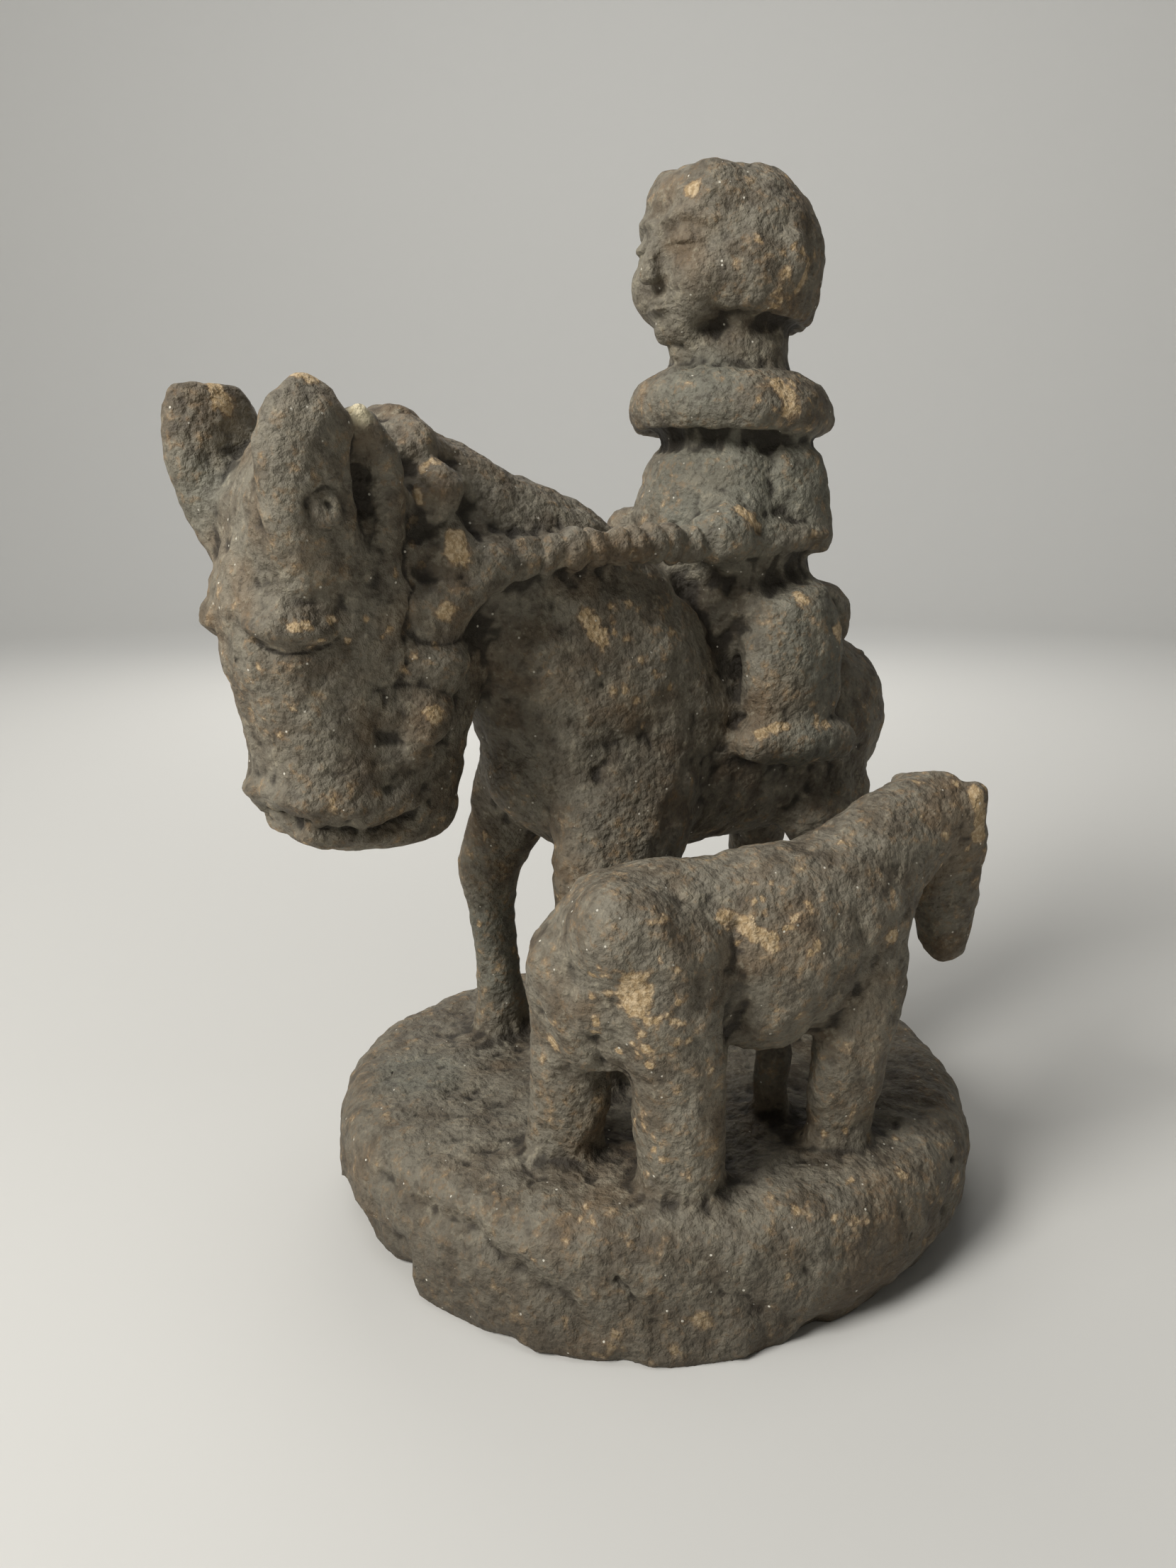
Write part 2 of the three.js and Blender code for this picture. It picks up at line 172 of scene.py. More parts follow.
def makeSky(values):
    world = bpy.data.worlds.new("studioSky")
    world.use_nodes = True
    background = world.node_tree.nodes["Background"]
    background.inputs["Color"].default_value = linearColour(values["sky"])
    background.inputs["Strength"].default_value = values["skyStrength"]
    bpy.context.scene.world = world


def makeLights(lights):
    for name, (stand, aim, width, power, colour) in lights.items():
        data = bpy.data.lights.new(name, "AREA")
        data.shape = "DISK"
        data.size = width * mm
        data.energy = power
        data.color = linearColour(colour)[:3]
        light = bpy.data.objects.new(name, data)
        light.location = Vector(stand) * mm
        light.rotation_mode = "QUATERNION"
        light.rotation_quaternion = (Vector(aim) * mm - light.location).to_track_quat("-Z", "Y")
        bpy.context.scene.collection.objects.link(light)


makeCamera(photoCamera)
makeSweep(studio)
makeSky(studio)
makeLights(studio["lights"])
bpy.context.scene.view_settings.view_transform = "Standard"
print("camera and studio made")


# Numbers on whole arrays

def latticeValue(x, y, z, seed):
    # scrambles whole-number lattice corners into even values from 0 to 1, by large multipliers,
    # shifts and exclusive ors
    mask = np.int64(0xFFFFFFFF)
    mixed = (x * 73856093 ^ y * 19349663 ^ z * 83492791 ^ np.int64(seed * 40503 + 977)) & mask
    mixed = ((mixed ^ (mixed >> 15)) * 739982445) & mask
    mixed = ((mixed ^ (mixed >> 12)) * 695872825) & mask
    return (mixed ^ (mixed >> 15)) / float(mask)


def softNoise(points, cell, seed):
    # value noise: lattice values blended with a smooth ramp along each axis, from -1 to 1
    scaled = points / np.asarray(cell)
    base = np.floor(scaled).astype(np.int64)
    ramp = scaled - base
    ramp = ramp ** 3 * (ramp * (ramp * 6 - 15) + 10)
    total = np.zeros(len(points))
    for corner in range(8):
        step = np.array([corner & 1, corner >> 1 & 1, corner >> 2 & 1])
        weight = np.prod(np.where(step, ramp, 1 - ramp), axis=1)
        total += weight * latticeValue(*(base + step).T, seed)
    return total * 2 - 1


def cellDistance(points, cell, seed):
    # distance to the nearest of one random point in each lattice cell, as a share of the cell
    scaled = points / np.asarray(cell)
    base = np.floor(scaled).astype(np.int64)
    nearest = np.full(len(points), 9.0)
    for corner in range(27):
        step = np.array([corner % 3, corner // 3 % 3, corner // 9]) - 1
        home = base + step
        seat = np.stack([latticeValue(*home.T, seed + k) for k in range(3)], axis=1)
        nearest = np.minimum(nearest, np.sum((home + seat - scaled) ** 2, axis=1))
    return np.sqrt(nearest)


def smoothStep(low, high, value):
    # 0 below low, 1 above high, and 3 s squared less 2 s cubed between them
    share = np.clip((value - low) / (high - low), 0, 1)
    return share * share * (3 - 2 * share)


def nearLine(points, line, reach):
    # the points within reach of a line's box, their offsets from the nearest place on the line,
    # and how far along the line that place lies
    line = np.asarray(line, float).reshape(-1, 3)
    inBox = np.all((points > line.min(axis=0) - reach) & (points < line.max(axis=0) + reach), axis=1)
    chosen = np.flatnonzero(inBox)
    points = points[chosen]
    offset = points - line[0]
    size = np.sum(offset ** 2, axis=1)
    along = np.zeros(len(points))
    travelled = 0.0
    for start, end in zip(line[:-1], line[1:]):
        piece = end - start
        length = np.linalg.norm(piece)
        share = np.clip((points - start) @ piece / length ** 2, 0, 1)
        fresh = points - start - share[:, None] * piece
        freshSize = np.sum(fresh ** 2, axis=1)
        nearer = freshSize < size
        size = np.where(nearer, freshSize, size)
        offset = np.where(nearer[:, None], fresh, offset)
        along = np.where(nearer, travelled + share * length, along)
        travelled += length
    return chosen, offset, along


def acrossSurface(offset, normals, slack=3.5):
    # the offset's length along the surface; the part along the normal counts only past the slack
    depth = np.sum(offset * normals, axis=1)
    sideways = np.maximum(np.sum(offset ** 2, axis=1) - depth ** 2, 0)
    return np.sqrt(sideways + 4 * np.maximum(np.abs(depth) - slack, 0) ** 2)


def neighbourMean(values, edges, degree):
    # the mean of each vertex's neighbours, for one or more columns
    columns = values.reshape(len(degree), -1)
    first, second = edges.T
    mean = np.empty_like(columns)
    for k in range(columns.shape[1]):
        mean[:, k] = (np.bincount(first, columns[second, k], len(degree))
                      + np.bincount(second, columns[first, k], len(degree)))
    return (mean / degree[:, None]).reshape(values.shape)


def relaxed(values, edges, degree, passes, rate=0.7):
    # moves each value part of the way to its neighbours' mean, again and again
    for _ in range(passes):
        values = values + rate * (neighbourMean(values, edges, degree) - values)
    return values


def aroundLine(points, line, reach, edge):
    # the points near a line, a share that is 1 within its reach and falls to 0 across a soft edge
    # (a share of the reach, on both sides of it), and how far along the line each one lies
    chosen, offset, along = nearLine(points, line, (1 + edge) * reach)
    fall = smoothStep((1 - edge) * reach, (1 + edge) * reach, np.linalg.norm(offset, axis=1))
    return chosen, 1 - fall, along


def strokeShare(offset, normals, width, power=2):
    # a bell across a drawn line: e to the minus (distance / width) to the power
    return np.exp(-(acrossSurface(offset, normals) / width) ** power)


def wandered(offset, near, amount, cell, seed):
    # the offset with a soft noise added along each axis
    return offset + amount * np.stack([softNoise(near, cell, seed + axis) for axis in range(3)], axis=1)


def readMesh(mesh):
    # a mesh's points, edges, numbers of neighbours and normals, as arrays
    points = np.empty(len(mesh.vertices) * 3)
    mesh.vertices.foreach_get("co", points)
    edges = np.empty(len(mesh.edges) * 2, np.int32)
    mesh.edges.foreach_get("vertices", edges)
    normals = np.empty(len(mesh.vertices) * 3)
    mesh.vertices.foreach_get("normal", normals)
    edges = edges.reshape(-1, 2)
    degree = np.maximum(np.bincount(edges.ravel(), minlength=len(mesh.vertices)), 1).astype(float)
    return points.reshape(-1, 3), edges, degree, normals.reshape(-1, 3)


def writePoints(mesh, points):
    mesh.vertices.foreach_set("co", points.astype(np.float32).ravel())
    mesh.update()


# The drawn places of the carving, in the same frames as the solid

place = {
    "plinthTop": 25,
    "horse": (-2, 13),
    "foal": (-2, -35),
    # the head's turn in degrees, and how far along the horse it turns
    "headTurn": 14,
    "headPivot": -45,
    "seat": (28, 88),
}


def onHorse(x, y, z):
    return (x + place["horse"][0], y + place["horse"][1], z + place["plinthTop"])


def onHead(x, y, z):
    # a point drawn on the head, turned with it
    turn = math.radians(place["headTurn"])
    reach = x - place["headPivot"]
    return onHorse(place["headPivot"] + reach * math.cos(turn) - y * math.sin(turn),
                   reach * math.sin(turn) + y * math.cos(turn), z)


def onRider(x, y, z):
    return onHorse(x + place["seat"][0], y, z + place["seat"][1])


def onFoal(x, y, z):
    return (x + place["foal"][0], y + place["foal"][1], z + place["plinthTop"])


def drawn(onForm, points):
    # a line's points, placed on the form that they are drawn on
    return [onForm(*point) for point in points]


def bothSides(onForm, points):
    # a line drawn on the near side, and its mirror on the far side
    return [drawn(onForm, points), drawn(onForm, [(x, -y, z) for x, y, z in points])]


def ringOf(onForm, centre, radii, sides=24):
    # a level oval line
    angles = np.linspace(0, 2 * math.pi, sides + 1)
    return [onForm(centre[0] + radii[0] * math.cos(a), centre[1] + radii[1] * math.sin(a), centre[2])
            for a in angles]


straps = bothSides(onHead, [(-47, 0, 125.5), (-48.5, -7, 123.5), (-47.5, -12.5, 116.5), (-45.5, -14.3, 106),
                            (-47.8, -14.5, 95.5), (-49.3, -14.4, 86.5), (-51.8, -13.8, 78.5),
                            (-54, -13, 71.5)])
reins = bothSides(onHorse, [(-33, -14, 103.2), (-20, -16, 104.8), (-6, -16, 105.2), (8, -14.8, 105),
                            (18, -13.5, 105.4)])
mouths = bothSides(onHead, [(-74.5, 0, 62.8), (-72.5, -6.8, 61.4), (-69, -10, 60.2), (-65, -11.6, 59.2),
                            (-56.5, -12.6, 59.6), (-50.5, -12.8, 61.2)])
eyeLines = bothSides(onHead, [(-78.6, -5.6, 92), (-75.9, -9.8, 90.7), (-73.3, -11.9, 90.4),
                              (-68.7, -13.7, 92.5)])


# Small forms joined to the solid before it is remeshed

smallForms = {
    # strings of balls: the line and the radii at its two ends
    "strings": [
        # the foal's rump
        (drawn(onFoal, [(-31, -1, 46), (-26, 5, 42)]), 9.5, 11.5),
        # under the near ear, then the pale splinter and the knob beside it
        (drawn(onHead, [(-66.5, -8, 107), (-66, -9.5, 100)]), 7, 5.5),
        (drawn(onHead, [(-64.6, -15.4, 127.2), (-64.2, -15.6, 125.0)]), 1.3, 1.2),
        (drawn(onHead, [(-71.4, -16.6, 112.6), (-71.2, -16.9, 111.2)]), 2.3, 2.1),
        # from the near strap to its rein
        (drawn(onHorse, [(-42.5, -15.6, 99.5), (-34, -14.6, 103)]), 4.6, 4.9),
        # the rider's fists
        (drawn(onRider, [(-13.6, -14.6, 18.4), (-11.2, -14.8, 18.6)]), 5.6, 5.8),
        (drawn(onRider, [(-13.6, 14.6, 18.4), (-11.2, 14.8, 18.6)]), 5.6, 5.8),
        # the foal's hind legs
        (drawn(onFoal, [(-30.8, 12.3, 28), (-30.7, 15.3, 2)]), 6.9, 6.1),
        (drawn(onFoal, [(-21.5, -4.2, 26), (-20.6, -4, 2)]), 8.6, 7.8),
        # the rider's forehead, cheeks and chin
        (drawn(onRider, [(-8.5, -4, 78.5), (-8.5, 4, 78.5)]), 8.5, 8.5),
        (drawn(onRider, [(-12, -6, 65.5), (-12, -5, 63.5)]), 6.6, 6),
        (drawn(onRider, [(-12, 6, 65.5), (-12, 5, 63.5)]), 6.6, 6),
        (drawn(onRider, [(-12.5, -1.5, 57.5), (-12.5, 1.5, 57.5)]), 4.6, 4.6),
    ],
    "ballRows": 12,
    # the most between two balls, as a share of the smaller radius
    "spacing": 0.35,
}


def unitBall(rows):
    # a ball of radius 1: rows of latitude between two poles, and triangles that face outwards
    columns = 2 * rows
    fall = np.linspace(0, math.pi, rows + 1)[1:-1, None]
    turn = np.linspace(0, 2 * math.pi, columns, endpoint=False)
    points = np.stack([np.sin(fall) * np.cos(turn), np.sin(fall) * np.sin(turn),
                       np.cos(fall) * np.ones_like(turn)], axis=-1).reshape(-1, 3)
    points = np.concatenate([points, [[0, 0, 1], [0, 0, -1]]])
    row, column = np.meshgrid(np.arange(rows - 2), np.arange(columns), indexing="ij")
    here, there = row * columns + column, row * columns + (column + 1) % columns
    under, underThere = here + columns, there + columns
    around = np.arange(columns)
    after = (around + 1) % columns
    top = (rows - 1) * columns
    last = (rows - 2) * columns
    triangles = np.concatenate([np.stack(corners, axis=-1).reshape(-1, 3) for corners in (
        (here, under, there), (there, under, underThere),
        (np.full(columns, top), around, after), (np.full(columns, top + 1), last + after, last + around))])
    return points, triangles


def smallFormArrays(values, firstIndex):
    # the balls of every string, close enough together to read as one form
    ball, triangles = unitBall(values["ballRows"])
    centres, radii = [], []
    for line, startRadius, endRadius in values["strings"]:
        start, end = np.asarray(line, float)
        spacing = values["spacing"] * min(startRadius, endRadius)
        count = max(2, math.ceil(np.linalg.norm(end - start) / spacing))
        share = np.linspace(0, 1, count)
        centres.append(start + share[:, None] * (end - start))
        radii.append(startRadius + share * (endRadius - startRadius))
    centres, radii = np.concatenate(centres), np.concatenate(radii)
    points = (centres[:, None] + radii[:, None, None] * ball) * mm
    faces = triangles + firstIndex + np.arange(len(centres))[:, None, None] * len(ball)
    return points.reshape(-1, 3), faces.reshape(-1, 3)


# Rounding the faceted solid

rounding = {
    "voxel": 0.6,
    # averaging passes: for the body, for edges that stay, to find creases, to blend the two
    "bodyPasses": 46,
    "finePasses": 7,
    "creasePasses": 14,
    "blendPasses": 8,
    # how hollow a crease between two forms is before it keeps its edge
    "crease": (0.12, 0.45),
    # how soft the end of each reach below is, as a share of it
    "edge": 0.25,
    # forms that keep their edges: a line through each, and the reach around it
    "crisp": [
        (drawn(onRider, [(-18, -7, 73), (-18, 7, 73)]), 8),
        (drawn(onRider, [(-18, -3, 62), (-18, 3, 62)]), 7),
        (drawn(onRider, [(1, -18, 73), (1, -18, 64)]), 5),
        (drawn(onRider, [(1, 18, 73), (1, 18, 64)]), 5),
        (ringOf(onRider, (0.4, 0, 37.5), (18, 18.5)), 5),
        (ringOf(onRider, (0.4, 0, 59.0), (16, 16)), 5),
        (drawn(onRider, [(11, -15.5, 18.5), (-8, -15, 17.3)]), 7),
        (drawn(onRider, [(11, 15.5, 18.5), (-8, 15, 17.3)]), 7),
        (drawn(onRider, [(-12.5, -14, 17.3)]), 8),
        (drawn(onRider, [(-12.5, 14, 17.3)]), 8),
        (drawn(onRider, [(8, -22, 6), (12, -20, -12)]), 4),
        (eyeLines[0], 3.5),
        (eyeLines[1], 3.5),
        (drawn(onHead, [(-64, -16, 107), (-66, -17, 123)]), 5.5),
        (drawn(onHead, [(-64.6, -15.2, 127), (-64, -15.4, 124)]), 3),
        (drawn(onHead, [(-71.4, -17, 112.2)]), 4),
        (drawn(onHead, [(-72, 15, 131), (-71, 15, 124)]), 6),
        (mouths[0], 6),
        (mouths[1], 6),
        (reins[0], 6),
        (reins[1], 6),
        (drawn(onFoal, [(36, 3.5, 60)]), 4),
        (drawn(onFoal, [(43.5, -7, 60)]), 4),
    ],
    # forms that are let go soft, creases and all
    "plain": [
        (straps[0], 8),
        (straps[1], 8),
        (drawn(onHead, [(-77, -9, 97.5), (-71, -13.2, 97.5)]), 4.5),
        (drawn(onHead, [(-77, 9, 97.5), (-71, 13.2, 97.5)]), 4.5),
        (drawn(onRider, [(-8, -22, -16.5), (14, -22, -17)]), 5),
        (drawn(onRider, [(-8, 22, -16.5), (14, 22, -17)]), 5),
    ],
}

# below this height the plinth's underside stays flat
underside = 0.4
# corners of the solid that round to the same step of this size are one corner
mergeDistance = 0.0001


def carvingCopy(node):
    # the solid's loose triangles with their shared corners merged, and the small forms beside them
    mesh = node.data
    points, _, _, _ = readMesh(mesh)
    corners = np.empty(len(mesh.loops), np.int32)
    mesh.loops.foreach_get("vertex_index", corners)
    steps = np.round(points / (mergeDistance * mm)).astype(np.int64)
    _, first, merged = np.unique(steps, axis=0, return_index=True, return_inverse=True)
    triangles = merged.ravel()[corners].reshape(-1, 3)
    keep = ((triangles[:, 0] != triangles[:, 1]) & (triangles[:, 1] != triangles[:, 2])
            & (triangles[:, 2] != triangles[:, 0]))
    extraPoints, extraTriangles = smallFormArrays(smallForms, len(first))
    copy = bpy.data.meshes.new("carving")
    copy.from_pydata(np.concatenate([points[first], extraPoints]).tolist(), [],
                     np.concatenate([triangles[keep], extraTriangles]).tolist())
    copy.update()
    return copy


def withModifier(mesh, kind, **settings):
    # the mesh after one modifier, as a mesh of its own
    holder = bpy.data.objects.new("holder", mesh)
    bpy.context.scene.collection.objects.link(holder)
    modifier = holder.modifiers.new(kind, kind)
    for name, value in settings.items():
        setattr(modifier, name, value)
    graph = bpy.context.evaluated_depsgraph_get()
    result = bpy.data.meshes.new_from_object(holder.evaluated_get(graph))
    bpy.data.objects.remove(holder)
    bpy.data.meshes.remove(mesh)
    return result


def roundForms(mesh, values):
    # plain averaging takes the facets off, and the even part of the loss is given back
    points, edges, degree, normals = readMesh(mesh)
    spot = points / mm
    fine = relaxed(points, edges, degree, values["finePasses"])
    soft = relaxed(points, edges, degree, values["bodyPasses"])
    soft = soft + relaxed(points - soft, edges, degree, 2 * values["bodyPasses"])
    inward = relaxed(fine, edges, degree, values["creasePasses"]) - fine
    crisp = smoothStep(*values["crease"], np.sum(normals * inward, axis=1) / mm)
    for line, reach in values["plain"]:
        chosen, share, _ = aroundLine(spot, line, reach, values["edge"])
        crisp[chosen] *= 1 - share
    for line, reach in values["crisp"]:
        chosen, share, _ = aroundLine(spot, line, reach, values["edge"])
        crisp[chosen] = np.maximum(crisp[chosen], share)
    crisp = relaxed(crisp, edges, degree, values["blendPasses"])[:, None]
    rounded = crisp * fine + (1 - crisp) * soft
    rounded[:, 2] = np.where(spot[:, 2] < underside, points[:, 2], rounded[:, 2])
    writePoints(mesh, rounded)


# Relief: the knife's facets, the crust, drawn lines, beads, pits and breaks

relief = {
    # soft noises: the cell's size and the depth
    "noises": {
        "lumps": (19, 0.45),
        "dents": (8, 0.36),
        "grain": ((2.4, 2.4, 9), 0.12),
        "crust": (2.9, 0.20),
        "grit": (1.5, 0.16),
    },
    # scooped facets, and a crust of small lumps: the cell's size and the depth
    "facets": [((9, 9, 10), 0.75), ((3.1, 3.1, 3.6), -0.5)],
    # where the noises and facets are held back: the place, the radii where that begins to fade
    # and ends, and the share that stays
    "calm": (onRider(-16, 0, 68), 10.5, 15, 0.25),
    # grooves: the line, half the width, the depth, and how far it wanders
    "grooves": [
        (drawn(onHead, [(-54.6, -14.4, 109), (-55.3, -14.6, 104.1), (-54.8, -15.2, 99.4),
                        (-55.7, -15.2, 93.5), (-55.8, -14.8, 87.5)]), 0.55, 0.9, 1.2),
        (eyeLines[0], 0.6, 0.8, 0.5),
        (eyeLines[1], 0.6, 0.8, 0.5),
        (mouths[0], 1.3, 3.0, 1.3),
        (mouths[1], 1.3, 3.0, 1.3),
        # undercuts below the collar, the cap and the forearms
        (ringOf(onRider, (0.6, 0, 36.2), (16, 17)), 2.1, 2.6, 0.5),
        (ringOf(onRider, (0.6, 0, 56.9), (13, 13)), 1.9, 1.6, 0.4),
        *[(line, 3.2, 2.6, 0.6) for line in
          bothSides(onRider, [(-17, -9, 8.5), (-10, -15, 9), (-2, -18, 9.5), (7, -18.5, 10.5)])],
        # between the arms and the trunk
        *[(line, 1.5, 1.3, 0.6) for line in
          bothSides(onRider, [(-2.2, -15.4, 34), (-2.4, -17, 28), (-1.6, -17.3, 23)])],
        # the plinth
        ([(-61.8, -0.7, 20.4), (-58.9, -16.6, 19.5), (-55.2, -26.4, 18.3), (-47.3, -38.4, 11.8),
          (-44.3, -41.3, 6.3)], 2.4, 1.8, 0.4),
        ([(-39.7, -44.8, 15.4), (-36.7, -46.6, 11.3), (-34.5, -48.6, 5.6)], 1.0, 1.2, 1.2),
        ([(-45.3, -12.1, 25), (-39.2, -10.4, 25), (-42.3, -19.6, 25), (-45.3, -29.7, 24.6)], 0.8, 0.9, 1.2),
        ([(-29, -54.5, 14), (-20, -58, 9), (-12, -60, 5)], 1.0, 0.9, 1.5),
        ([(8, -60, 15), (18, -58, 9)], 0.9, 0.8, 1.5),
        ([(28, -54, 20), (38, -47, 14), (41, -44, 8)], 1.3, 1.0, 1.5),
        ([(-18, -57, 19), (-8, -59, 17), (0, -60, 18)], 1.2, 0.8, 1.5),
        # the foal's flanks and haunches
        (drawn(onFoal, [(-36.8, -0.6, 28.2), (-35.4, -0.5, 25), (-34, -0.2, 20)]), 1.9, 2.4, 0.4),
        (drawn(onFoal, [(-15.6, -9.5, 47), (-14.8, -12, 41), (-14.2, -12.5, 34), (-13.2, -10, 26)]),
         2.4, 1.6, 0.6),
        (drawn(onFoal, [(8, -14, 45), (9, -14.5, 38), (9, -14, 32)]), 1.6, 0.8, 0.6),
        # behind the rider's knee
        *[(line, 1.1, 1.2, 0.5) for line in
          bothSides(onRider, [(15, -20, 6), (15.4, -19.4, 0), (15.6, -18, -7)])],
        # the rider's closed eyes and mouth
        *[(line, 0.45, 0.55, 0.0) for line in
          bothSides(onRider, [(-18.3, -3.4, 71.2), (-17.6, -7, 70.9), (-14.6, -10.2, 71)])],
        (drawn(onRider, [(-17.4, -4.4, 61.1), (-19.6, 0, 61.0), (-17.4, 4.4, 61.1)]), 0.45, 0.6, 0.0),
    ],
    # ridges: the line, half the width, the rise
    "ridges": [
        *[(line, 1.2, 0.35) for line in
          bothSides(onHead, [(-78, -8, 99.8), (-75.4, -11, 101.2), (-72, -13.4, 100.8)])],
        *[(line, 1.9, 1.2) for line in
          bothSides(onHead, [(-76.5, -2, 66.8), (-76, -8.5, 66), (-70, -14, 63.9), (-61, -15, 63.2),
                             (-54, -14.5, 65)])],
        *[(line, 1.3, 0.6) for line in
          bothSides(onRider, [(-8, -17.2, 21.4), (-1, -18.9, 20.3), (9, -20.1, 18.4)])],
        (ringOf(onRider, (0.4, 0, 48.5), (15, 15.5)), 1.2, 0.35),
    ],
    # beads: the line, the form's radius, where they start, the spacing, the grooves' depth
    "beads": [
        (reins[0], 5.0, -1.6, 4.4, 0.8),
        (reins[1], 5.0, -1.6, 4.4, 0.8),
        (straps[0], 8.0, 3.0, 9.8, 1.25),
        (straps[1], 8.0, 3.0, 9.8, 1.25),
    ],
    # marks: the place, the radius, how far raised (or sunk)
    "marks": [
        (onHead(-72.2, -18.8, 113.2), 1.0, -1.2),
        (onHead(-73.5, -4, 62), 1.5, -1.2),
        (onHead(-66.5, -11.2, 59.6), 1.6, -1.3),
        (onHead(-58, -12.5, 59.6), 1.4, -1.2),
        (onHead(-65.6, -15.2, 127.4), 1.0, -2.2),
        (onHead(-64, -15, 117), 1.6, -1.0),
        (onHead(-80.5, 0, 97), 2.4, 0.9),
        ((-61.7, -9.2, 9.8), 1.3, -1.4),
        ((10.9, -59.6, 18.6), 1.8, -0.9),
        ((-10.8, -58.7, 14.3), 1.8, -0.9),
        ((-34.2, -29.4, 25), 1.5, -0.9),
        ((24, -56, 11), 2.6, -1.1),
        ((36, -48, 12), 2.4, -1.0),
        ((-22, -56, 6), 2.6, 0.9),
        ((2, -60, 10), 3.0, 0.8),
        (onRider(-15, -10.5, 65), 3.0, 0.25),
        (onRider(-15, 10.5, 65), 3.0, 0.25),
    ],
    # rings: the place, the radius, half the width, the rise
    "rings": [
        (onHead(-72.2, -18.6, 112.1), 3.1, 0.8, -0.7),
    ],
    # how far each kind of drawn form is looked for
    "lineReach": 8,
    # how a groove wanders and fades: the cells of the two noises, and the share that fades
    "wanderCell": 2.6,
    "fadeCell": 4.1,
    "fade": 0.45,
    # beads: how soft their end is, how uneven their spacing, and how much of each one is sunk
    "beadEdge": 0.15,
    "beadUneven": 0.3,
    "beadLevel": 0.6,
    # marks: how uneven the outline is and the size of its waves, as shares of the radius
    "markUneven": 0.35,
    "markWave": 1.4,
    # rings: how uneven the outline is and the size of its waves
    "ringUneven": 0.5,
    "ringWave": 2.2,
    # the noises' first seeds
    "seeds": {"noises": 11, "facets": 31, "wander": 50, "marks": 60, "rings": 64, "fade": 70,
              "beads": 95},
    # moves the noises' lattice off the origin
    "shift": 100,
    # the heights above the floor over which the relief begins
    "footFade": (0.2, 1.0),
    # averaging passes for the normals along which the relief moves
    "normalPasses": 3,
}

plinthBreaks = {
    # the broken band low on the wall: the angles over which it starts and ends, the heights over
    # which its top ends, how uneven that is and at what size, and how far the band is set in
    "notchStart": (143, 148),
    "notchEnd": (187, 192),
    "notchTop": (9, 10),
    "notchUneven": (1.6, 5),
    "notchDepth": 3.6,
    # chips along the foot of the wall: the noise's size and stretch, the values that chip, the
    # heights over which they end, and the depth
    "chipCell": 7.5,
    "chipStretch": (1, 1, 0.5),
    "chipValues": (0.05, 0.6),
    "chipTop": (1.35, 4.5),
    "chipDepth": 1.9,
    # how far from the middle the breaks begin and are full
    "wall": (40, 50),
    "seeds": (90, 91),
}


def calmShare(spot):
    # rises from the share that stays, at the calm place, to 1 at its radius
    centre, inner, radius, stays = relief["calm"]
    return stays + (1 - stays) * smoothStep(inner, radius, np.linalg.norm(spot - centre, axis=1))


def evenRelief(spot, values):
    # soft noises, and squared distances to scattered cell points less about their mean of 0.3,
    # each times its depth
    height = np.zeros(len(spot))
    shifted = spot + values["shift"]
    for step, (cell, depth) in enumerate(values["noises"].values()):
        height += depth * softNoise(shifted, cell, values["seeds"]["noises"] + step)
    for step, (cell, depth) in enumerate(values["facets"]):
        away = cellDistance(shifted, cell, values["seeds"]["facets"] + 5 * step)
        height += depth * (away ** 2 - 0.3)
    return height * calmShare(spot)


def addDrawnRelief(height, spot, normals, values):
    # bells across grooves and ridges, a rectified sine along beads, bells on marks and rings
    seeds, reach = values["seeds"], values["lineReach"]
    for step, (line, width, depth, wander) in enumerate(values["grooves"]):
        chosen, offset, _ = nearLine(spot, line, reach)
        near = spot[chosen]
        offset = wandered(offset, near, wander, values["wanderCell"], seeds["wander"])
        fading = 1 + softNoise(near, values["fadeCell"], seeds["fade"] + step)
        kept = 1 - values["fade"] * min(wander, 1) * fading
        height[chosen] -= depth * kept * strokeShare(offset, normals[chosen], width)
    for line, width, rise in values["ridges"]:
        chosen, offset, _ = nearLine(spot, line, reach)
        height[chosen] += rise * strokeShare(offset, normals[chosen], width)
    for line, radius, start, pitch, depth in values["beads"]:
        chosen, share, along = aroundLine(spot, line, radius, values["beadEdge"])
        uneven = values["beadUneven"] * pitch * softNoise(spot[chosen], pitch, seeds["beads"])
        wave = np.abs(np.sin(math.pi * (along - start + uneven) / pitch))
        height[chosen] += depth * share * (wave - values["beadLevel"])
    for centre, radius, rise in values["marks"]:
        chosen, offset, _ = nearLine(spot, [centre], reach)
        offset = wandered(offset, spot[chosen], values["markUneven"] * radius,
                          values["markWave"] * radius, seeds["marks"])
        height[chosen] += rise * strokeShare(offset, normals[chosen], radius)
    for centre, radius, width, rise in values["rings"]:
        chosen, offset, _ = nearLine(spot, [centre], reach)
        wobble = values["ringUneven"] * softNoise(spot[chosen], values["ringWave"], seeds["rings"])
        fromRing = (acrossSurface(offset, normals[chosen]) - radius + wobble) / width
        height[chosen] += rise * np.exp(-fromRing ** 2)


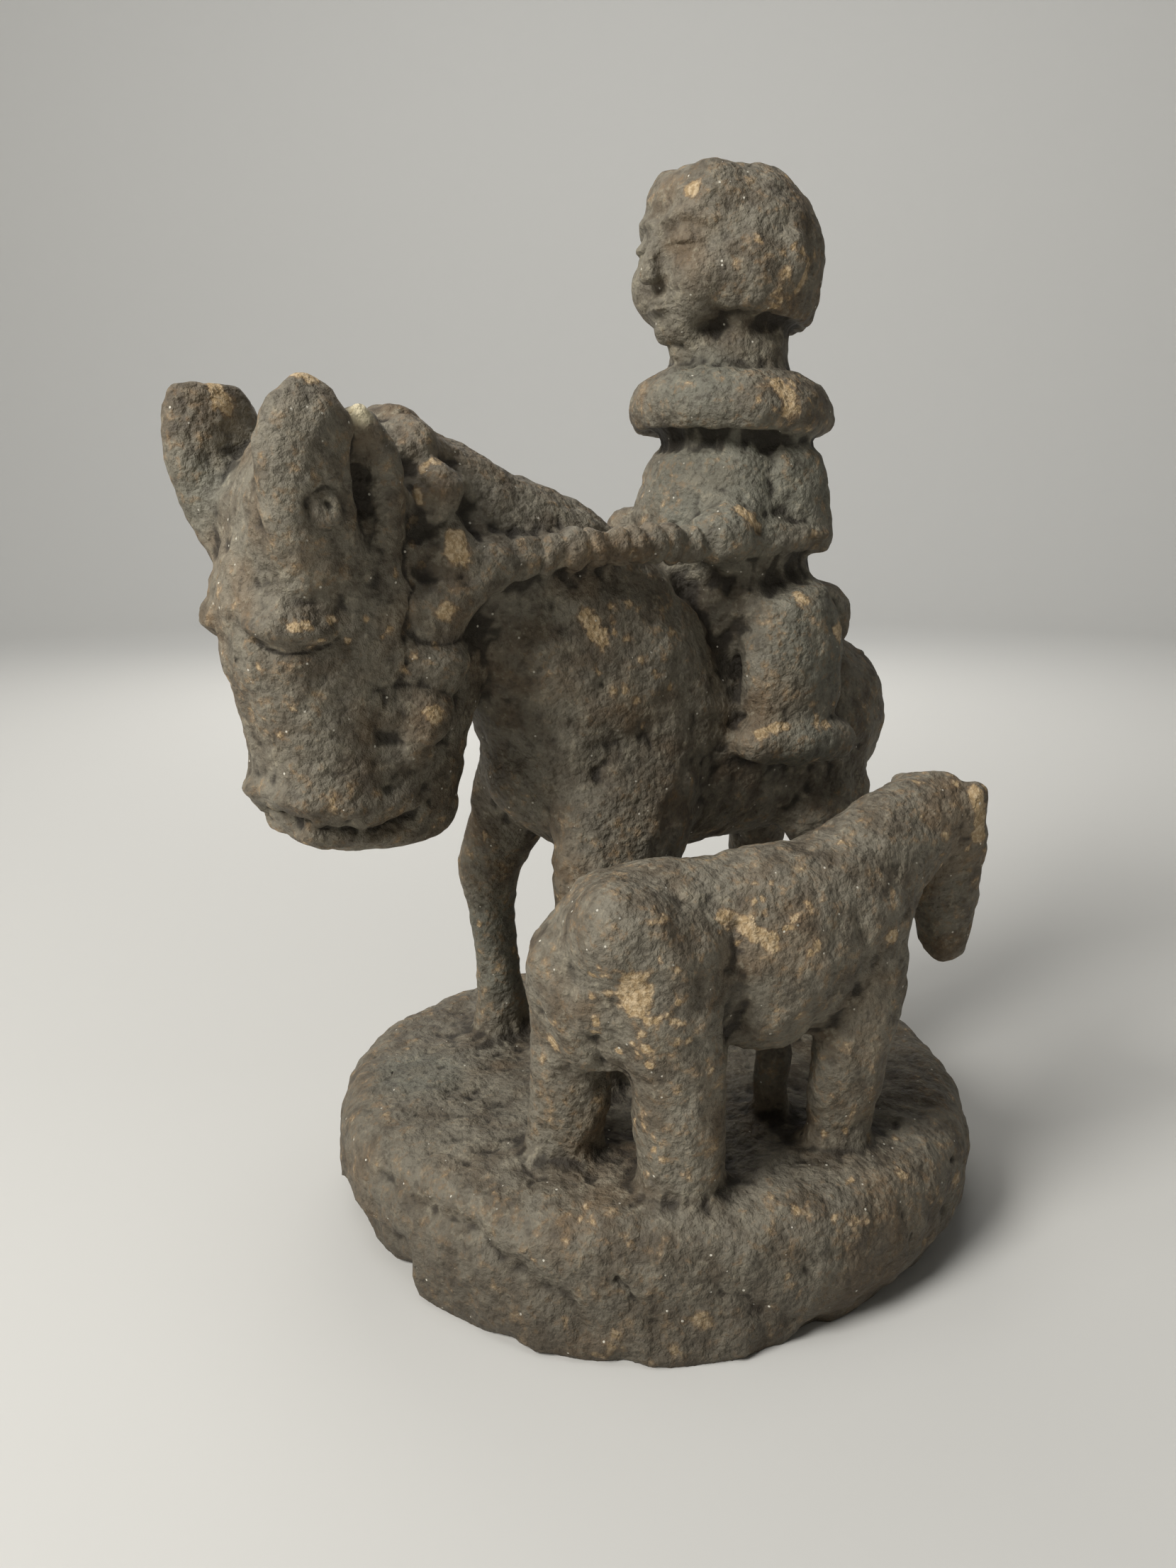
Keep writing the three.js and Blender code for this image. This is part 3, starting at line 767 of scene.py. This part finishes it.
def breakPull(spot, values):
    # the notch and the chips, cut straight in toward the plinth's middle
    angle = np.degrees(np.arctan2(spot[:, 1], spot[:, 0])) % 360
    notchSeed, chipSeed = values["seeds"]
    rise, cell = values["notchUneven"]
    level = spot[:, 2] + rise * softNoise(spot, cell, notchSeed)
    band = (smoothStep(*values["notchStart"], angle) * (1 - smoothStep(*values["notchEnd"], angle))
            * (1 - smoothStep(*values["notchTop"], level)))
    noise = softNoise(spot * values["chipStretch"], values["chipCell"], chipSeed)
    chipped = smoothStep(*values["chipValues"], noise) * (1 - smoothStep(*values["chipTop"], spot[:, 2]))
    away = np.linalg.norm(spot[:, :2], axis=1)
    depth = values["notchDepth"] * band + values["chipDepth"] * chipped
    inward = depth * smoothStep(*values["wall"], away)
    pull = np.zeros_like(spot)
    pull[:, :2] = -spot[:, :2] / np.maximum(away, 1)[:, None] * inward[:, None]
    return pull


def addRelief(mesh, values):
    # moves each point along its smoothed normal by the relief, and in by the breaks
    points, edges, degree, normals = readMesh(mesh)
    normals = relaxed(normals, edges, degree, values["normalPasses"])
    normals /= np.maximum(np.linalg.norm(normals, axis=1), 1e-9)[:, None]
    spot = points / mm
    height = evenRelief(spot, values)
    addDrawnRelief(height, spot, normals, values)
    height *= smoothStep(*values["footFade"], spot[:, 2])
    moved = points + (normals * height[:, None] + breakPull(spot, plinthBreaks)) * mm
    moved[:, 2] = np.where(spot[:, 2] < underside, points[:, 2], moved[:, 2])
    writePoints(mesh, moved)


def insideBox(mesh):
    # keeps the carving within the solid's box, and its underside flat on the floor
    points, _, _, _ = readMesh(mesh)
    writePoints(mesh, np.clip(points, np.array(cadLow), np.array(cadHigh)))


triangleLimit = 196000

carving = carvingCopy(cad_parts["statuette"])
carving = withModifier(carving, "REMESH", mode="VOXEL", voxel_size=rounding["voxel"] * mm)
print("remeshed", len(carving.polygons))
roundForms(carving, rounding)
print("rounded")
addRelief(carving, relief)
print("relief added")
insideBox(carving)
carving = withModifier(carving, "TRIANGULATE")
carving = withModifier(carving, "DECIMATE", ratio=min(1.0, triangleLimit / len(carving.polygons)))
insideBox(carving)
carving.shade_smooth()
print("triangles", len(carving.polygons))


# Where the surface lies hollow, for painted shade and some dirt there, and where it is rubbed, bare or
# cooler in colour

finishAndShade = {
    # spots rubbed down to tan wood: the place or line, and the radius
    "rubbed": [
        # the rider's cap, collar and forearm
        ([(8.2, 4.8, 193.6), (11.6, 6.2, 193.2)], 1.7),
        ([(24.4, -4.6, 179.0)], 1.5),
        ([(31, -6, 181), (29, -6.5, 176)], 1.4),
        ([(23.0, -5.7, 158.9), (24.4, -7.5, 155.2)], 2.4),
        ([(17.8, -3.9, 132.6), (15.5, -4.4, 134.6)], 1.8),
        # the near strap and the rider's foot
        ([onHead(-47.1, -17.5, 107.4), onHead(-47.1, -17.5, 105.2)], 1.9),
        ([(-45.9, 0.9, 142.0)], 1.4),
        ([onHead(-51, -12.8, 114.2)], 1.5),
        ([(16.9, -10.2, 93.9), (22.9, -11.2, 94.8)], 1.2),
        ([(33, -12.2, 94.6)], 1.1),
        # the foal
        ([(-35.4, -42.6, 62.4), (-35.5, -42.7, 66.0)], 2.7),
        ([(-18.1, -42.9, 73.7), (-11.1, -47.3, 68.8)], 1.5),
        ([(13.9, -50.9, 65.2)], 2.0),
        ([(39.4, -44.3, 88.6), (42.3, -43.8, 77.3)], 1.7),
        # the horse's shoulder, brow, ears and strap
        ([(-18.3, -3.4, 118.0), (-15.8, -4.2, 114.1)], 2.0),
        ([(-71.7, -9.1, 120.5)], 1.4),
        ([(-74, -7.5, 120)], 1.2),
        ([onHead(-71, 14.5, 130.5), onHead(-71, 12, 128)], 1.7),
        ([onHead(-72, -14, 130)], 2.0),
        ([onHead(-50, -18, 96)], 1.6),
        ([onHead(-53, -17, 79)], 1.6),
        # the foal's hind leg, the rider's leg and the plinth's wall
        ([(-41, -27, 50)], 1.6),
        ([(-38, -35, 30)], 1.6),
        ([(28, -8, 118)], 1.3),
        ([(36, -7, 112)], 1.6),
        ([(30, -57, 16)], 2.0),
        ([(-28, -53, 8)], 2.2),
    ],
    # small rubbed flecks thrown over a part: its middle, its reach, how many, and their radius
    "scattered": [
        ((-36, -43, 60), 11, 26, 1.0), ((-10, -6, 108), 13, 16, 0.9), ((26, -6, 180), 9, 12, 1.0),
        ((24, -6, 156), 8, 7, 0.9), ((-62, 4, 112), 18, 16, 0.8), ((-12, -48, 72), 10, 14, 0.8),
        ((8, -58, 12), 26, 18, 1.0), ((-40, -44, 10), 16, 12, 1.0), ((30, -12, 95), 8, 6, 0.9),
        ((-48, -2, 124), 12, 12, 0.9), ((38, -44, 84), 12, 12, 1.0), ((-36, -38, 32), 9, 8, 0.9),
        ((40, 40, 14), 26, 12, 1.0), ((40, 14, 100), 22, 14, 0.9), ((-10, 36, 60), 26, 12, 0.9),
    ],
    # parts with a cooler, blue-grey coat: the place and the radius
    "cool": [
        (onRider(-10, -10, 27), 15), (onRider(6, -17, 29), 9), (onRider(6, -22, -2), 12),
        (onRider(2, -24, -24), 8), (onHorse(-18, 17, 20), 13), (onHorse(-10, -18, 34), 9),
        (onRider(-12, -8, 44), 9), ((-44, 20, 25), 9), (onHead(-70, 14, 116), 9),
    ],
    # the pale splinter: its middle and radius
    "ivory": (onHead(-64.4, -15.8, 126), 2.1),
    # how hollow a point lies among ever wider surroundings, which sets the painted shade and dirt in the
    # hollows: the averaging passes and the weight
    "surroundings": [(3, 1.0), (12, 0.32), (60, 0.10)],
    # how far the proudest forms are rubbed everywhere, and how proud of the widest they stand
    "proud": 0.26,
    "proudFrom": (0.15, 0.8),
    "fleckStrength": 0.9,
    "coolEdge": 0.4,
    "seed": 7,
}


def paintFinishAndShade(mesh, values):
    # four shares per vertex: how hollow it lies (for painted shade and dirt), how far it is rubbed, how
    # bare, how cool
    points, edges, degree, normals = readMesh(mesh)
    spot = points / mm
    calm = calmShare(spot)
    mean = points
    hollowShadeAndDirt = np.full(len(points), 0.5)
    for passes, weight in values["surroundings"]:
        mean = relaxed(mean, edges, degree, passes)
        inward = np.sum(normals * (mean - points), axis=1) / mm
        hollowShadeAndDirt += weight * inward
    hollowShadeAndDirt = 0.5 + (np.clip(hollowShadeAndDirt, 0, 1) - 0.5) * calm
    rubbed = values["proud"] * calm * smoothStep(*values["proudFrom"], -inward)
    # a spot has faded out at three radii, and past the slack that acrossSurface allows
    for line, radius in values["rubbed"]:
        chosen, offset, _ = nearLine(spot, line, 3 * radius + 4)
        share = strokeShare(offset, normals[chosen], radius, power=4)
        rubbed[chosen] = np.maximum(rubbed[chosen], share)
    chance = np.random.default_rng(values["seed"])
    for centre, spread, count, radius in values["scattered"]:
        within = np.flatnonzero(np.linalg.norm(spot - centre, axis=1) < spread)
        for fleck in spot[chance.choice(within, count)]:
            chosen, offset, _ = nearLine(spot, [fleck], 3 * radius)
            share = values["fleckStrength"] * strokeShare(offset, normals[chosen], radius)
            rubbed[chosen] = np.maximum(rubbed[chosen], share)
    cool = np.zeros(len(points))
    for centre, radius in values["cool"]:
        chosen, share, _ = aroundLine(spot, [centre], radius, values["coolEdge"])
        cool[chosen] = np.maximum(cool[chosen], share)
    centre, radius = values["ivory"]
    bare = np.exp(-(np.linalg.norm(spot - centre, axis=1) / radius) ** 6)
    shares = np.stack([hollowShadeAndDirt, rubbed, bare, cool], axis=1)
    layer = mesh.color_attributes.new("finishAndShade", "FLOAT_COLOR", "POINT")
    layer.data.foreach_set("color", shares.astype(np.float32).ravel())


paintFinishAndShade(carving, finishAndShade)


# Weathered carved wood: matt, dusty and grey-brown, with painted shade and some dirt in the hollows,
# painted shade towards the foot, and tan where hands and shelves have rubbed it. The eye reads it as old
# handled wood, dry and without polish.

wood = {
    "colours": {
        "body": "#7a7466",
        "ash": "#a09884",
        "brown": "#5e5547",
        "umber": "#403930",
        # painted shade, with some dirt, that darkens the hollows
        "hollowShadeAndDirt": "#241f19",
        "tan": "#c9b391",
        "ochre": "#a68e69",
        "russet": "#7f674b",
        "cool": "#74766b",
        # painted shade that darkens the carving towards its foot
        "footShade": "#3d362c",
        "dust": "#cdc8ba",
        "ivory": "#e6dab8",
    },
    # noises: the size of the features, the detail, the roughness
    "noises": {
        "patch": (17, 3.0, 0.55),
        "cloud": (7, 4.0, 0.6),
        "mottle": (3.0, 5.0, 0.62),
        "fleck": (1.6, 4.0, 0.6),
        "grit": (0.9, 3.0, 0.6),
    },
    # the wood's fibres: their length, width and thickness, and how they are turned
    "fibre": (5.0, 1.6, 1.4),
    "fibreTurn": (0.2, 0.45, 0.6),
    "fibreNoise": {"Scale": 1.0, "Detail": 3.0, "Roughness": 0.6, "Distortion": 0.6},
    # pale specks: their spacing, their radius as a share of it, and which of them show
    "speck": 2.3,
    "speckRadius": (0.11, 0.066),
    "speckLuck": (0.66, 0.68),
    # coats: where each begins and is full on its noise or share, and how much of it is laid on
    "coats": {
        "body": (0.34, 0.62, 1.0),
        "patch": (0.50, 0.68, 0.30),
        "ash": (0.52, 0.70, 0.50),
        "umber": (0.48, 0.32, 0.50),
        "fibre": (0.46, 0.32, 0.15),
        "handled": (0.26, 0.52, 0.5),
        "grain": (0.42, 0.62, 1.0),
        "rubbed": (0.46, 0.74, 0.85),
        "hollowShadeAndDirt": (0.57, 0.94, 0.82),
        # painted shade: none at 32 mm, fullest at the foot
        "footShade": (32, 0, 0.6),
    },
    # how much of the cooler coat is laid on where the mesh asks for it
    "coolShare": 0.5,
    # how far the fine noises stir the flakes and the rubbed places
    "flakeStir": 0.5,
    "wearStir": 1.3,
    # small raised flakes: their size, and what flakes, mottle and grit add to the bump
    "flake": 1.5,
    "bumpWeights": (-0.3, 0.5, 0.4),
    "bumpHeight": 1.4,
    # dry wood scatters most of its light, more in some places than in others, as the mottle noise runs
    "roughness": (0.50, 0.92),
    "specular": 0.35,
}


def makeWood(values):
    material, tree = newMaterial("weathered carved wood")
    colours = values["colours"]
    point = addNode(tree, "ShaderNodeTexCoord").outputs["Object"]
    layer = addNode(tree, "ShaderNodeAttribute", {"attribute_name": "finishAndShade"})
    shares = addNode(tree, "ShaderNodeSeparateColor", links={"Color": layer.outputs["Color"]})
    hollowShadeAndDirt, rubbed, bare = shares.outputs
    cool = layer.outputs["Alpha"]

    def noise(size, detail, roughness):
        # a noise whose features are about this many millimetres across
        return addNode(tree, "ShaderNodeTexNoise",
                       {"Scale": 1 / (size * mm), "Detail": detail, "Roughness": roughness},
                       {"Vector": point}).outputs["Fac"]

    def cells(size):
        # random cells about this many millimetres across
        return addNode(tree, "ShaderNodeTexVoronoi", {"Scale": 1 / (size * mm)}, {"Vector": point})

    def between(value, low, high):
        # goes smoothly from 0 to 1 while the value goes from low to high
        return addNode(tree, "ShaderNodeMapRange",
                       {"From Min": low, "From Max": high, "interpolation_type": "SMOOTHSTEP"},
                       {"Value": value}).outputs["Result"]

    def calc(operation, first, second):
        # one step of arithmetic on two sockets or numbers
        node = addNode(tree, "ShaderNodeMath", {"operation": operation})
        for socket, value in zip(node.inputs, (first, second)):
            if isinstance(value, (int, float)):
                socket.default_value = value
            else:
                tree.links.new(value, socket)
        return node.outputs[0]

    def blend(share, under, over):
        # mixes two colours, each a hex colour or a socket
        node = addNode(tree, "ShaderNodeMix", {"data_type": "RGBA"}, {"Factor": share})
        for socket, colour in ((node.inputs[6], under), (node.inputs[7], over)):
            if isinstance(colour, str):
                socket.default_value = linearColour(colour)
            else:
                tree.links.new(colour, socket)
        return node.outputs[2]

    def coat(name, value, under, over):
        # lays one colour over another where the value runs through the coat's range
        low, high, share = values["coats"][name]
        return blend(calc("MULTIPLY", between(value, low, high), share), under, over)

    def centred(value):
        # a noise turned to run about 0
        return calc("SUBTRACT", value, 0.5)

    stretch = addNode(tree, "ShaderNodeMapping",
                      {"Scale": tuple(1 / (size * mm) for size in values["fibre"]),
                       "Rotation": values["fibreTurn"]},
                      {"Vector": point}).outputs[0]
    fibre = addNode(tree, "ShaderNodeTexNoise", values["fibreNoise"], {"Vector": stretch}).outputs["Fac"]
    patch, cloud, mottle, fleck, grit = [
        noise(*values["noises"][name]) for name in ("patch", "cloud", "mottle", "fleck", "grit")]
    flaking = calc("ADD", mottle, calc("MULTIPLY", centred(grit), values["flakeStir"]))
    stir = calc("MULTIPLY", calc("ADD", centred(fleck), centred(mottle)), values["wearStir"])
    worn = calc("ADD", rubbed, stir)

    colour = coat("body", cloud, colours["brown"], colours["body"])
    colour = coat("patch", patch, colour, colours["russet"])
    colour = blend(calc("MULTIPLY", cool, values["coolShare"]), colour, colours["cool"])
    colour = coat("ash", flaking, colour, colours["ash"])
    colour = coat("umber", flaking, colour, colours["umber"])
    colour = coat("fibre", fibre, colour, colours["umber"])
    colour = coat("handled", worn, colour, colours["russet"])
    freshWood = coat("grain", grit, colours["ochre"], colours["tan"])
    colour = coat("rubbed", worn, colour, freshWood)
    # painted shade, with some dirt, darkening the hollows and creases
    colour = coat("hollowShadeAndDirt", hollowShadeAndDirt, colour, colours["hollowShadeAndDirt"])
    # painted shade, darker from 32 mm down to the foot
    axes = addNode(tree, "ShaderNodeSeparateXYZ", links={"Vector": point})
    colour = coat("footShade", calc("DIVIDE", axes.outputs["Z"], mm), colour, colours["footShade"])
    specks = cells(values["speck"])
    luck = addNode(tree, "ShaderNodeSeparateColor", links={"Color": specks.outputs["Color"]}).outputs[0]
    speck = calc("MULTIPLY", between(specks.outputs["Distance"], *values["speckRadius"]),
                 between(luck, *values["speckLuck"]))
    colour = blend(speck, colour, colours["dust"])
    colour = blend(bare, colour, colours["ivory"])

    flakeWeight, mottleWeight, gritWeight = values["bumpWeights"]
    raised = calc("ADD", calc("MULTIPLY", cells(values["flake"]).outputs["Distance"], flakeWeight),
                  calc("MULTIPLY", mottle, mottleWeight))
    raised = calc("ADD", raised, calc("MULTIPLY", grit, gritWeight))
    bump = addNode(tree, "ShaderNodeBump", {"Strength": 1.0, "Distance": values["bumpHeight"] * mm},
                   {"Height": raised})
    smoothest, roughest = values["roughness"]
    rough = addNode(tree, "ShaderNodeMapRange", {"To Min": smoothest, "To Max": roughest},
                    {"Value": mottle})
    shader = addNode(tree, "ShaderNodeBsdfPrincipled", {"Specular IOR Level": values["specular"]},
                     {"Base Color": colour, "Roughness": rough.outputs["Result"],
                      "Normal": bump.outputs["Normal"]})
    addNode(tree, "ShaderNodeOutputMaterial", links={"Surface": shader.outputs[0]})
    return material


carving.materials.clear()
carving.materials.append(makeWood(wood))
statuette = bpy.data.objects.new("carved_statuette", carving)
bpy.context.scene.collection.objects.link(statuette)
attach(statuette, "root")
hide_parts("statuette")
print("carving finished")
